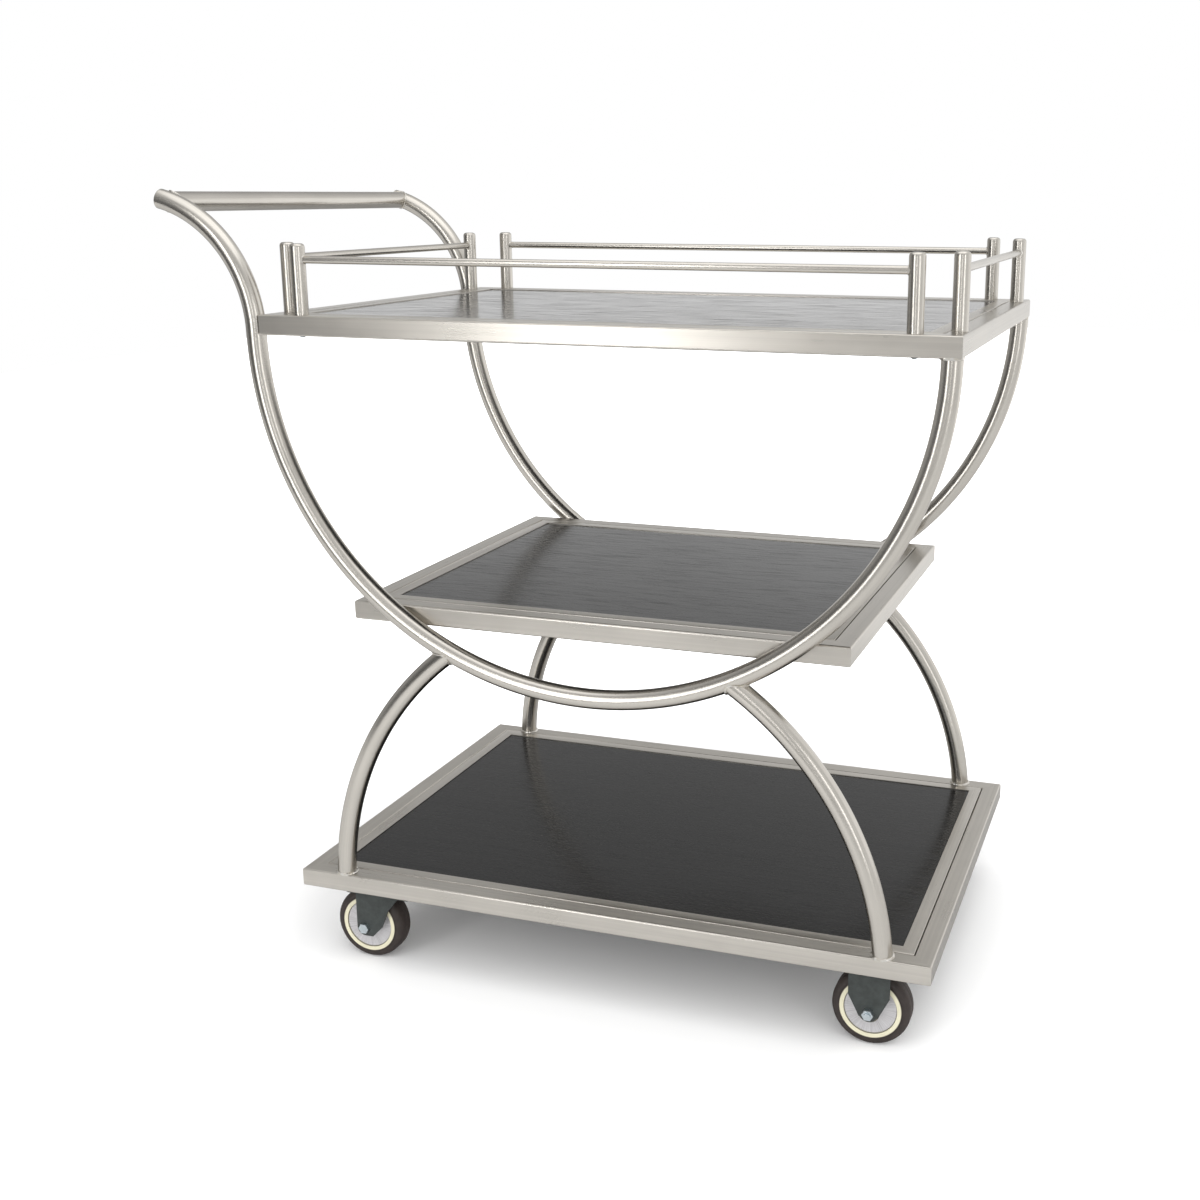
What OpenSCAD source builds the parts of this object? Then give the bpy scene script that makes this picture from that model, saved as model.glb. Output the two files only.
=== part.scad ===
// Three-shelf bar cart: two bent-tube hoops carry the shelves and run up into the push handle.
// X runs along the cart with the handle at the low end, Y from front to back, Z up from the floor.

/* [Shelves] */
// Length of the top shelf over its frame
top_len = 889; // [760:1:1100]
// Width of the top and bottom shelves over their frames
cart_w = 610; // [480:1:720]
// Height of the top shelf above the floor
top_h = 895; // [850:1:960]
// Length of the middle shelf over its frame
mid_len = 669.5; // [560:0.5:760]
// Height of the middle shelf above the floor
mid_h = 524; // [490:1:570]
// Length of the bottom shelf over its frame
bottom_len = 876; // [820:1:960]
// Distance of the middle shelf's centre from the hoops' centre
mid_shift = 1.5; // [-10:0.5:10]
// Height of the bottom shelf above the floor
bottom_h = 138.3; // [134:0.1:170]

/* [Shelf frames] */
// Side of the square frame tube
frame_tube = 25.4; // [22:0.1:32]
// Wall of the square frame tube
frame_wall = 1.5; // [1.2:0.1:2.5]
// Outside corner radius of the square frame tube
frame_edge_r = 2.5; // [1.8:0.1:4]
// Gap round the drop-in bezel
bezel_gap = 0.8; // [0.5:0.1:2]
// Visible width of the bezel strip
bezel_w = 17; // [12:0.5:26]
// Height of the bezel from its ledge to its face
bezel_h = 12; // [11:0.5:14]
// Width of the ledge that carries the panel
ledge_w = 9; // [6:0.5:16]
// Thickness of the ledge
ledge_t = 2.5; // [1.5:0.5:4]
// Thickness of the shelf panel
panel_t = 8.3; // [6:0.1:8.4]
// Gap between a panel and its bezel
panel_gap = 0.8; // [0.4:0.1:1.5]
// Width of the flat tube bars under the panels
cross_bar_w = 30; // [20:1:50]
// Depth of the flat tube bars under the panels
cross_bar_h = 9; // [7:0.5:9]
// Distance of each bar from the end of its shelf
cross_bar_inset = 210; // [200:1:250]

/* [Hoops and handle] */
// Diameter of the hoop, leg and handle tube
hoop_tube = 25.4; // [22:0.1:32]
// Wall of the hoop, leg and handle tube
hoop_wall = 1.5; // [1.2:0.1:2.5]
// Height of the hoops' centre above the underside of the top shelf
hoop_rise = 3.5; // [0:0.5:12]
// Centre-line radius of the bend up to the handle
handle_bend_r = 168; // [120:1:200]
// Angle of the bend up to the handle
handle_bend_angle = 76; // [74:0.5:85]
// Angle at which the handle bar joins the bend
handle_bar_angle = 72; // [55:0.5:72]
// Centre-line radius of the legs
leg_r = 437; // [410:1:470]
// Distance of each leg's foot from the middle of the bottom shelf
leg_foot = 375; // [360:1:390]
// Angle round the hoop from its lowest point to the top of each leg
leg_meet_angle = 25; // [23:0.5:28]
// Gap that the welds fill where tubes meet
weld_gap = 0.2; // [0.1:0.05:0.4]

/* [Gallery] */
// Diameter of the gallery posts
post_d = 19; // [14:0.5:24]
// Height of the gallery posts above the shelf
post_h = 88; // [70:1:120]
// Edge radius at the top of a post
post_top_r = 4.5; // [1:0.5:6]
// Distance from the end of a side to its gallery post
post_inset = 55; // [45:0.5:80]
// Diameter of the gallery rails
rail_d = 9.5; // [6:0.5:12]
// Height of the rails' centre above the shelf
rail_h = 68.5; // [50:0.5:78]
// Diameter of the screws that hold the posts
post_screw_d = 5; // [4:0.5:6]
// Depth of the threaded hole in a post
post_hole_depth = 25; // [15:1:40]

/* [Casters] */
// Diameter of the wheels
wheel_d = 101.6; // [90:0.1:102]
// Width of the tyres
tyre_w = 32; // [24:1:36]
// Radius of the tyres' shoulders
tyre_edge_r = 9; // [4:0.5:11]
// Outside diameter of the wheel's rim
rim_d = 80.4; // [70:0.2:84]
// Inside diameter of the rim's face
rim_face_d = 68.6; // [60:0.2:69]
// Width of the rim
rim_w = 31; // [24:0.5:31]
// Distance from a caster's centre to the end of the bottom shelf at the handle end
swivel_inset = 111; // [100:1:120]
// Distance from a rigid caster's centre to the other end of the bottom shelf
rigid_inset = 80.4; // [74:0.1:110]
// Distance from a caster's centre to the side of the bottom shelf
caster_side_inset = 47.5; // [43:0.5:48]
// Distance of the swivel wheel's axle behind its swivel axis
trail = 31; // [30:0.5:36]
// Thickness of the caster plates
plate_t = 3; // [2:0.5:4]
// Thickness of the fork sheet
fork_t = 2.5; // [2:0.5:3]
// Gap between the two legs of a fork
fork_gap = 48; // [44:0.5:50]
// Diameter of the axle sleeve
sleeve_d = 12; // [10:0.5:16]
// Diameter of the axle bolt
axle_d = 8; // [6:0.5:9]
// Diameter of the swivel balls
ball_d = 4.8; // [4.5:0.1:5]
// Number of balls in a swivel
ball_count = 20; // [12:1:22]

/* [Hidden] */
$fn = 64;

// One name for each piece, or for each set of like fasteners

steel = [0.70, 0.68, 0.64];
laminate = [0.16, 0.16, 0.16];
fork_green = [0.24, 0.26, 0.25];
tyre_brown = [0.20, 0.17, 0.16];
cream = [0.91, 0.87, 0.75];
zinc = [0.74, 0.78, 0.80];

// Cuts reach this far past the metal
past = 1;

// End plugs close the hoops at the handle
plug_t = 2;
plug_spigot = 6;
plug_edge_r = 1.2;
plug_fit = 0.2;

// The hoops end flush under the shelf's right end and stand just outside its left end
hoop_r = (top_len + weld_gap) / 2;
hoop_offset = (top_len - hoop_tube) / 2 - hoop_r;
hoop_y = (cart_w - hoop_tube) / 2;
top_underside = top_h - frame_tube;
hoop_z = top_underside + hoop_rise;
bend_offset = hoop_offset - hoop_r - handle_bend_r;
handle_end_z = hoop_z + handle_bend_r * sin(handle_bend_angle);
handle_bar_z = hoop_z + handle_bend_r * sin(handle_bar_angle);

// Shelves are placed so that the middle of the cart's overall length is at X = 0, to the
// nearest step, so that bends that meet share the same centre line
place_step = 0.01;
left_reach = bend_offset + handle_bend_r * cos(handle_bend_angle)
    - (hoop_tube / 2 - plug_edge_r) * cos(handle_bend_angle)
    - (plug_t - plug_edge_r) * sin(handle_bend_angle) - plug_edge_r;
right_reach = max(top_len, bottom_len) / 2;
shelf_x = round(-(left_reach + right_reach) / 2 / place_step) * place_step;
hoop_x = shelf_x + hoop_offset;
bend_x = shelf_x + bend_offset;
handle_end_x = bend_x + handle_bend_r * cos(handle_bend_angle);
handle_bar_x = bend_x + handle_bend_r * cos(handle_bar_angle);

// The middle shelf is held between the hoops
middle_x = hoop_x + mid_shift;
middle_w = 2 * hoop_y - hoop_tube - 2 * weld_gap;

// A shelf is its length, its width, the height of its top and its centre along the cart
top_shelf = [top_len, cart_w, top_h, shelf_x];
middle_shelf = [mid_len, middle_w, mid_h, middle_x];
bottom_shelf = [bottom_len, cart_w, bottom_h, shelf_x];
bottom_underside = bottom_h - frame_tube;
cross_bar_wall = 1.2;

post_screw_head_d = 9.5;
post_screw_head_h = 2.8;
screw_fit = 0.15;
screw_clear = 2;

// How far each leg's bend runs on past its foot and its head before it is cut there
leg_overrun = 12;
handle_cope = 12;

// Casters hang below the bottom shelf
axle_z = wheel_d / 2;
swivel_x = shelf_x - bottom_len / 2 + swivel_inset;
rigid_x = shelf_x + bottom_len / 2 - rigid_inset;
caster_y = cart_w / 2 - caster_side_inset;
plate_under = bottom_underside - plate_t;

// Caster plates: length, width, and the spacing of their holes both ways
swivel_holes = [100, 85, 80, 60];
rigid_holes = [90, 76, 70, 60];
plate_corner_r = 6;
caster_bolt_d = 8;
caster_bolt_head_d = 14;
caster_bolt_head_h = 3.2;
insert_wall = 1.4;
insert_h = 9;
bolt_fit = 0.15;

// Plates inside the corners of the bottom frame
gusset_t = 4;
gusset_over = 8;

// Swivel: balls in a race between the plate and the crown, held by the kingpin
crown_gap = 3.9;
crown_top = plate_under - crown_gap;
crown_under = crown_top - fork_t;
race_z = plate_under - crown_gap / 2;
race_r = 20;
race_fit = 0.1;
race_rim = 4.5;
kingpin_d = 12;
kingpin_head_d = 20;
kingpin_head_h = 4.5;
kingpin_gap = 0.3;
running_fit = 0.05;
axle_fit = 0.1;

// Fork outlines seen from the side
foot_r = 12;
rigid_leg_w = 53;
rigid_taper = 23;
fork_lead = 25;
fork_knee = [26, 3];
fork_waist = [35, 28];
crease_r = 20;
crease_back = 14;
flank_angle = 15;

// Wheel build-up
hub_d = 28;
web_w = 12;
cover_t = 1;
cover_recess = 1.5;
cover_ledge = 2.4;
cover_fit = 0.4;
tyre_fit = 0.05;
hub_side_gap = 0.4;

bolt_flats = 13;
bolt_head_h = 5.3;
nut_h = 6.8;
bolt_over = 3;

// Square with round corners, centred
module rounded_square(w, h, r) {
    square([w - 2 * r, h], center = true);
    square([w, h - 2 * r], center = true);
    for (sx = [-1, 1], sy = [-1, 1])
        translate([sx * (w / 2 - r), sy * (h / 2 - r)])
            circle(r);
}

// Half outline of a round bar whose far end has a rounded edge
module rounded_end(r, h, edge) {
    square([r - edge, h]);
    square([r, h - edge]);
    translate([r - edge, h - edge])
        intersection() {
            circle(edge);
            square(edge + past);
        }
}

// Hexagon given by its width across flats
module hexagon(flats) {
    circle(d = flats / cos(30), $fn = 6);
}

// Low domed head that rises from Z = 0
module domed_head(d, h) {
    ball_r = (d * d / 4 + h * h) / (2 * h);
    intersection() {
        translate([0, 0, h - ball_r])
            sphere(ball_r);
        cylinder(d = d + past, h = h + past);
    }
}

// Square tube along X with its outer side towards -Y and both ends mitred
module mitred_tube(len) {
    half = len / 2;
    side = frame_tube / 2;
    bore = frame_tube - 2 * frame_wall;
    intersection() {
        rotate([90, 0, 90])
            linear_extrude(len + 2 * past, center = true)
                difference() {
                    rounded_square(frame_tube, frame_tube, frame_edge_r);
                    rounded_square(bore, bore, frame_edge_r - frame_wall);
                }
        linear_extrude(frame_tube + 2 * past, center = true)
            polygon([
                [-half, -side], [half, -side],
                [half - frame_tube, side], [-half + frame_tube, side]
            ]);
    }
}

// One tube of a shelf's frame: side 0 is the front, 1 the right, 2 the back and 3 the left
module frame_side(shelf, side) {
    run = side % 2 == 0 ? shelf[0] : shelf[1];
    away = side % 2 == 0 ? shelf[1] : shelf[0];
    translate([shelf[3], 0, shelf[2] - frame_tube / 2])
        rotate([0, 0, 90 * side])
            translate([0, (frame_tube - away) / 2, 0])
                mitred_tube(run);
}

module top_tube(side) {
    color(steel)
        difference() {
            frame_side(top_shelf, side);
            translate([0, 0, top_underside - past])
                at_posts(side)
                    cylinder(d = post_screw_d + 2 * screw_fit, h = frame_tube + 2 * past);
        }
}

module middle_tube(side) {
    color(steel)
        frame_side(middle_shelf, side);
}

// The long tubes take the outer bolts of the casters
module bottom_tube(side) {
    color(steel)
        if (side % 2 == 0)
            difference() {
                frame_side(bottom_shelf, side);
                translate([0, 0, bottom_underside - past])
                    at_caster_holes()
                        cylinder(d = caster_bolt_d + 2 * bolt_fit, h = frame_wall + 2 * past);
            }
        else
            frame_side(bottom_shelf, side);
}

// Drop-in strip round a panel, with the ledge that carries it
module bezel(shelf) {
    edge = frame_tube + bezel_gap;
    outer = [shelf[0] - 2 * edge, shelf[1] - 2 * edge];
    window = [outer[0] - 2 * bezel_w, outer[1] - 2 * bezel_w];
    opening = [window[0] - 2 * ledge_w, window[1] - 2 * ledge_w];
    color(steel)
        translate([shelf[3], 0, shelf[2] - bezel_h])
            difference() {
                linear_extrude(bezel_h)
                    square(outer, center = true);
                translate([0, 0, ledge_t])
                    linear_extrude(bezel_h)
                        square(window, center = true);
                translate([0, 0, -past])
                    linear_extrude(bezel_h)
                        square(opening, center = true);
            }
}

// Laminate panel that lies on its bezel's ledge
module panel(shelf) {
    edge = frame_tube + bezel_gap + bezel_w + panel_gap;
    color(laminate)
        translate([shelf[3], 0, shelf[2] - bezel_h + ledge_t])
            linear_extrude(panel_t)
                square([shelf[0] - 2 * edge, shelf[1] - 2 * edge], center = true);
}

// Flat tubes between the long sides of each frame, under its bezel
module shelf_cross_bars() {
    bore = [cross_bar_w - 2 * cross_bar_wall, cross_bar_h - 2 * cross_bar_wall];
    color(steel)
        for (shelf = [top_shelf, middle_shelf, bottom_shelf], s = [-1, 1])
            translate([shelf[3] + s * (shelf[0] / 2 - cross_bar_inset), 0,
                    shelf[2] - bezel_h - cross_bar_h / 2])
                rotate([90, 0, 0])
                    linear_extrude(shelf[1] - 2 * frame_tube, center = true)
                        difference() {
                            square([cross_bar_w, cross_bar_h], center = true);
                            square(bore, center = true);
                        }
}

// Places its children on the two posts of one side of the gallery
module at_posts(side) {
    run = side % 2 == 0 ? top_len : cart_w;
    away = side % 2 == 0 ? cart_w : top_len;
    translate([shelf_x, 0, 0])
        rotate([0, 0, 90 * side])
            for (s = [-1, 1])
                translate([s * (run / 2 - post_inset), (frame_tube - away) / 2, 0])
                    children();
}

// Round posts with softened tops and a threaded hole in the foot
module rail_posts(side) {
    color(steel)
        translate([0, 0, top_h])
            at_posts(side)
                difference() {
                    rotate_extrude()
                        rounded_end(post_d / 2, post_h, post_top_r);
                    translate([0, 0, -past])
                        cylinder(d = post_screw_d + 2 * screw_fit, h = post_hole_depth + past);
                }
}

// Rail between the two posts of a side, its ends coped to them
module rail(side) {
    run = side % 2 == 0 ? top_len : cart_w;
    away = side % 2 == 0 ? cart_w : top_len;
    color(steel)
        difference() {
            translate([shelf_x, 0, top_h + rail_h])
                rotate([0, 0, 90 * side])
                    translate([0, (frame_tube - away) / 2, 0])
                        rotate([0, 90, 0])
                            cylinder(d = rail_d, h = run - 2 * post_inset, center = true);
            translate([0, 0, top_h])
                at_posts(side)
                    cylinder(d = post_d + 2 * weld_gap, h = post_h);
        }
}

// Domed screws from under the frame up into the posts
module post_screws() {
    color(zinc)
        translate([0, 0, top_underside])
            for (side = [0:3])
                at_posts(side) {
                    cylinder(d = post_screw_d, h = frame_tube + post_hole_depth - screw_clear);
                    rotate([180, 0, 0])
                        domed_head(post_screw_head_d, post_screw_head_h);
                }
}

// Bent tube: part of a ring about the origin in the XZ plane
module tube_arc(bend_r, from, sweep) {
    rotate([90, 0, 0])
        rotate([0, 0, from])
            rotate_extrude(angle = sweep, $fn = 180)
                translate([bend_r, 0])
                    difference() {
                        circle(d = hoop_tube);
                        circle(d = hoop_tube - 2 * hoop_wall);
                    }
}

// Cutter for the saddle on a tube that meets a bent tube
module cope_arc(bend_r, from, sweep) {
    rotate([90, 0, 0])
        rotate([0, 0, from])
            rotate_extrude(angle = sweep, $fn = 180)
                translate([bend_r, 0])
                    circle(d = hoop_tube + 2 * weld_gap);
}

// Hoop from under the top shelf's right end, round below it, and up and out to the handle
module hoop(side) {
    color(steel)
        translate([0, side * hoop_y, 0])
            difference() {
                union() {
                    translate([hoop_x, 0, hoop_z])
                        tube_arc(hoop_r, 180, 180);
                    translate([bend_x, 0, hoop_z])
                        tube_arc(handle_bend_r, 0, handle_bend_angle);
                }
                translate([hoop_x + hoop_r, 0, top_underside + frame_tube / 2])
                    cube([2 * hoop_tube, 2 * hoop_tube, frame_tube], center = true);
            }
}

// Straight bar between the hoops, its ends coped to their upper bends
module handle_bar() {
    color(steel)
        difference() {
            translate([handle_bar_x, 0, handle_bar_z])
                rotate([90, 0, 0])
                    difference() {
                        cylinder(d = hoop_tube, h = 2 * hoop_y, center = true);
                        cylinder(d = hoop_tube - 2 * hoop_wall, h = 2 * hoop_y + past,
                            center = true);
                    }
            for (s = [-1, 1])
                translate([bend_x, s * hoop_y, hoop_z])
                    cope_arc(handle_bend_r, handle_bar_angle - handle_cope, 2 * handle_cope);
        }
}

// Caps with a spigot inside the ends of the hoops
module handle_plugs() {
    color(steel)
        for (s = [-1, 1])
            translate([handle_end_x, s * hoop_y, handle_end_z])
                rotate([0, -handle_bend_angle, 0]) {
                    rotate_extrude()
                        rounded_end(hoop_tube / 2, plug_t, plug_edge_r);
                    translate([0, 0, -plug_spigot])
                        cylinder(d = hoop_tube - 2 * hoop_wall - 2 * plug_fit,
                            h = plug_spigot + plug_t / 2);
                }
}

// Bent leg that stands on the bottom shelf and is coped to the hoop: end -1 is the left
module leg(end, side) {
    foot = [shelf_x + end * leg_foot, bottom_h];
    head = [
        hoop_x + end * hoop_r * sin(leg_meet_angle),
        hoop_z - hoop_r * cos(leg_meet_angle)
    ];
    chord = norm(head - foot);
    along = (head - foot) / chord;
    depth = sqrt(leg_r * leg_r - chord * chord / 4);
    centre = (foot + head) / 2 + end * depth * [-along[1], along[0]];
    overrun = leg_overrun / (2 * PI * leg_r) * 360;
    start = floor(asin((foot[1] - centre[1]) / leg_r) - overrun);
    stop = ceil(asin((head[1] - centre[1]) / leg_r) + overrun);
    color(steel)
        translate([0, side * hoop_y, 0])
            difference() {
                translate([centre[0], 0, centre[1]])
                    mirror([end < 0 ? 1 : 0, 0, 0])
                        tube_arc(leg_r, start, stop - start);
                translate([hoop_x, 0, hoop_z]) {
                    cope_arc(hoop_r, 180, 180);
                    rotate([90, 0, 0])
                        cylinder(r = hoop_r, h = 2 * hoop_tube, center = true, $fn = 180);
                }
                translate([shelf_x, 0, bottom_h / 2])
                    cube([2 * bottom_len, 2 * hoop_tube, bottom_h], center = true);
            }
}

// Places its children at one caster: end -1 is the swivel end, side -1 the front
module at_caster(end, side) {
    mirror([0, side > 0 ? 1 : 0, 0])
        translate([end < 0 ? swivel_x : rigid_x, -caster_y, 0])
            children();
}

// Places its children at the four corners of a hole pattern
module at_corners(holes) {
    for (sx = [-1, 1], sy = [-1, 1])
        translate([sx * holes[2] / 2, sy * holes[3] / 2, 0])
            children();
}

// Places its children at every caster bolt
module at_caster_holes() {
    for (end = [-1, 1], side = [-1, 1])
        at_caster(end, side)
            at_corners(end < 0 ? swivel_holes : rigid_holes)
                children();
}

// Plate welded inside a corner of the bottom frame, level with its underside
module gusset(end, side) {
    plate = end < 0 ? swivel_holes : rigid_holes;
    inset = end < 0 ? swivel_inset : rigid_inset;
    run = inset + plate[0] / 2 + gusset_over - frame_tube;
    outer_y = cart_w / 2 - frame_tube - caster_y;
    inner_y = plate[1] / 2 + gusset_over;
    difference() {
        at_caster(end, side)
            translate([end < 0 ? frame_tube - inset : inset - frame_tube - run,
                    -outer_y, bottom_underside])
                cube([run, outer_y + inner_y, gusset_t]);
        translate([0, 0, bottom_underside - past])
            at_caster_holes()
                cylinder(d = caster_bolt_d + 2 * bolt_fit, h = gusset_t + 2 * past);
    }
}

module caster_gussets() {
    color(steel)
        for (end = [-1, 1], side = [-1, 1])
            gusset(end, side);
}

// Domed bolts up through the plates, each with a round insert above
module caster_bolts() {
    color(zinc)
        for (end = [-1, 1], side = [-1, 1])
            at_caster(end, side) {
                holes = end < 0 ? swivel_holes : rigid_holes;
                translate([0, 0, plate_under])
                    at_corners(holes) {
                        cylinder(d = caster_bolt_d, h = plate_t + gusset_t + insert_h);
                        rotate([180, 0, 0])
                            domed_head(caster_bolt_head_d, caster_bolt_head_h);
                    }
                for (sx = [-1, 1], sy = [-1, 1])
                    translate([sx * holes[2] / 2, sy * holes[3] / 2,
                            bottom_underside + (sy < 0 ? frame_wall : gusset_t)])
                        insert();
            }
}

// Threaded insert round the end of a caster bolt
module insert() {
    difference() {
        cylinder(r = caster_bolt_d / 2 + bolt_fit + insert_wall, h = insert_h);
        translate([0, 0, -past])
            cylinder(d = caster_bolt_d + 2 * bolt_fit, h = insert_h + 2 * past);
    }
}

module caster_plate(plate) {
    difference() {
        translate([0, 0, plate_under])
            linear_extrude(plate_t)
                rounded_square(plate[0], plate[1], plate_corner_r);
        translate([0, 0, plate_under - past])
            at_corners(plate)
                cylinder(d = caster_bolt_d + 2 * bolt_fit, h = plate_t + 2 * past);
    }
}

// Groove that the swivel balls run in
module ball_race() {
    rotate_extrude($fn = 96)
        translate([race_r, race_z])
            circle(d = ball_d + 2 * race_fit);
}

// Top plate of a swivel caster with its ball race and the kingpin that holds the fork
module swivel_plate(side) {
    head_z = crown_under - kingpin_gap - kingpin_head_h;
    color(fork_green)
        at_caster(-1, side)
            difference() {
                union() {
                    caster_plate(swivel_holes);
                    translate([0, 0, head_z])
                        cylinder(d = kingpin_d, h = plate_under + plate_t / 2 - head_z);
                    translate([0, 0, head_z])
                        cylinder(d = kingpin_head_d, h = kingpin_head_h);
                }
                ball_race();
            }
}

module swivel_balls() {
    color(zinc)
        for (side = [-1, 1])
            at_caster(-1, side)
                for (i = [0:ball_count - 1])
                    rotate([0, 0, i * 360 / ball_count])
                        translate([race_r, 0, race_z])
                            sphere(d = ball_d, $fn = 24);
}

// Swivel fork from above, drawn in by an inset: flat legs behind a rounded crease, then
// flanks that close in towards the front
module fork_plan(inset) {
    half = fork_gap / 2 + fork_t;
    round_r = crease_r - inset;
    tangent_x = -crease_back + round_r * sin(flank_angle);
    tangent_y = half - crease_r + round_r * cos(flank_angle);
    run = 2 * fork_lead;
    end_x = tangent_x + run * cos(flank_angle);
    end_y = tangent_y - run * sin(flank_angle);
    back_x = -trail - foot_r - (inset > 0 ? past : 0);
    polygon([
        [back_x, -half + inset], [-crease_back, -half + inset],
        [tangent_x, -tangent_y], [end_x, -end_y],
        [end_x, end_y], [tangent_x, tangent_y],
        [-crease_back, half - inset], [back_x, half - inset]
    ]);
    for (s = [-1, 1])
        translate([-crease_back, s * (half - crease_r)])
            circle(round_r);
}

// Raked side outline of the swivel fork, from its rounded foot to the crown
module swivel_side_outline() {
    translate([-trail, axle_z])
        circle(foot_r);
    polygon([
        [-trail - foot_r, axle_z], [-trail, axle_z], [-trail, axle_z - foot_r],
        [-trail + foot_r, axle_z - foot_r], [-trail + fork_knee[0], axle_z + fork_knee[1]],
        [-trail + fork_waist[0], axle_z + fork_waist[1]], [fork_lead, crown_top],
        [-trail - foot_r, crown_top]
    ]);
}

module axle_hole() {
    translate([0, 0, axle_z])
        rotate([90, 0, 0])
            cylinder(d = axle_d + 2 * screw_fit, h = 2 * fork_gap, center = true);
}

module swivel_fork(side) {
    foot = axle_z - foot_r - past;
    color(fork_green)
        at_caster(-1, side)
            difference() {
                union() {
                    intersection() {
                        difference() {
                            translate([0, 0, foot])
                                linear_extrude(crown_top - foot)
                                    fork_plan(0);
                            translate([0, 0, foot - past])
                                linear_extrude(crown_under - foot + past)
                                    fork_plan(fork_t);
                        }
                        rotate([90, 0, 0])
                            linear_extrude(2 * fork_gap, center = true)
                                swivel_side_outline();
                    }
                    translate([0, 0, crown_under])
                        cylinder(r = race_r + race_rim, h = fork_t);
                }
                ball_race();
                translate([0, 0, crown_under - past])
                    cylinder(d = kingpin_d + 2 * running_fit, h = fork_t + 2 * past);
                translate([-trail, 0, 0])
                    axle_hole();
            }
}

// Side outline of the rigid fork's legs, which taper to a rounded foot
module rigid_side_outline() {
    half = rigid_leg_w / 2;
    translate([0, axle_z])
        circle(foot_r);
    polygon([
        [-half, plate_under + plate_t / 2], [-half, axle_z + rigid_taper],
        [-foot_r, axle_z - foot_r / 2], [0, axle_z], [foot_r, axle_z - foot_r / 2],
        [half, axle_z + rigid_taper], [half, plate_under + plate_t / 2]
    ]);
}

module rigid_fork(side) {
    color(fork_green)
        at_caster(1, side)
            difference() {
                union() {
                    caster_plate(rigid_holes);
                    for (s = [-1, 1])
                        translate([0, s * (fork_gap + fork_t) / 2, 0])
                            rotate([90, 0, 0])
                                linear_extrude(fork_t, center = true)
                                    rigid_side_outline();
                }
                axle_hole();
            }
}

// Axle bolt with its head towards -Y, its nut, and the sleeve that the wheel turns on
module axle() {
    half = fork_gap / 2 + fork_t;
    color(zinc)
        rotate([90, 0, 0]) {
            translate([0, 0, half])
                linear_extrude(bolt_head_h)
                    hexagon(bolt_flats);
            translate([0, 0, -half - nut_h - bolt_over])
                cylinder(d = axle_d, h = 2 * half + nut_h + bolt_over + bolt_head_h / 2);
            translate([0, 0, -half - nut_h])
                linear_extrude(nut_h)
                    difference() {
                        hexagon(bolt_flats);
                        circle(d = axle_d + 2 * axle_fit);
                    }
            linear_extrude(fork_gap, center = true)
                difference() {
                    circle(d = sleeve_d);
                    circle(d = axle_d + 2 * axle_fit);
                }
        }
}

module swivel_axle(side) {
    at_caster(-1, side)
        translate([-trail, 0, axle_z])
            axle();
}

// The rigid casters' bolts go in from the inner side, so their nuts face out
module rigid_axles() {
    for (side = [-1, 1])
        at_caster(1, side)
            translate([0, 0, axle_z])
                rotate([0, 0, 180])
                    axle();
}

// Places a wheel's piece, drawn about Z, on the axle of one caster
module at_wheel(end, side) {
    at_caster(end, side)
        translate([end < 0 ? -trail : 0, 0, axle_z])
            rotate([90, 0, 0])
                children();
}

// Tyre with a flat tread and round shoulders
module tyre(end, side) {
    outer = wheel_d / 2;
    inner = rim_d / 2 + tyre_fit;
    color(tyre_brown)
        at_wheel(end, side)
            rotate_extrude($fn = 128)
                difference() {
                    translate([0, -tyre_w / 2]) {
                        square([outer - tyre_edge_r, tyre_w]);
                        translate([0, tyre_edge_r])
                            square([outer, tyre_w - 2 * tyre_edge_r]);
                        for (y = [tyre_edge_r, tyre_w - tyre_edge_r])
                            translate([outer - tyre_edge_r, y])
                                circle(tyre_edge_r);
                    }
                    translate([-past, -tyre_w])
                        square([inner + past, 2 * tyre_w]);
                }
}

// Wheel core: bored hub, web, and a rim with a ledge for each cover
module core(end, side) {
    ledge = rim_w / 2 - cover_recess - cover_t;
    hub_w = fork_gap - 2 * hub_side_gap;
    color(cream)
        at_wheel(end, side)
            rotate_extrude($fn = 128)
                difference() {
                    union() {
                        translate([rim_face_d / 2, -rim_w / 2])
                            square([(rim_d - rim_face_d) / 2, rim_w]);
                        translate([rim_face_d / 2 - cover_ledge, -ledge])
                            square([cover_ledge + past, 2 * ledge]);
                        translate([0, -web_w / 2])
                            square([rim_face_d / 2, web_w]);
                        translate([0, -hub_w / 2])
                            square([hub_d / 2, hub_w]);
                    }
                    translate([-past, -fork_gap])
                        square([past + sleeve_d / 2 + running_fit, 2 * fork_gap]);
                }
}

// Discs that close the wheel on both sides
module covers(end, side) {
    level = rim_w / 2 - cover_recess - cover_t / 2;
    color(zinc)
        at_wheel(end, side)
            for (s = [-1, 1])
                translate([0, 0, s * level])
                    linear_extrude(cover_t, center = true)
                        difference() {
                            circle(d = rim_face_d - 2 * cover_fit, $fn = 128);
                            circle(d = hub_d + 2 * cover_fit);
                        }
}

top_tube(0);  // top_front_tube
top_tube(1);  // top_right_tube
top_tube(2);  // top_back_tube
top_tube(3);  // top_left_tube
middle_tube(0);  // middle_front_tube
middle_tube(1);  // middle_right_tube
middle_tube(2);  // middle_back_tube
middle_tube(3);  // middle_left_tube
bottom_tube(0);  // bottom_front_tube
bottom_tube(1);  // bottom_right_tube
bottom_tube(2);  // bottom_back_tube
bottom_tube(3);  // bottom_left_tube
bezel(top_shelf);  // top_bezel
bezel(middle_shelf);  // middle_bezel
bezel(bottom_shelf);  // bottom_bezel
panel(top_shelf);  // top_panel
panel(middle_shelf);  // middle_panel
panel(bottom_shelf);  // bottom_panel
shelf_cross_bars();
rail(0);  // front_rail
rail(1);  // right_rail
rail(2);  // back_rail
rail(3);  // left_rail
rail_posts(0);  // front_rail_posts
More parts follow.
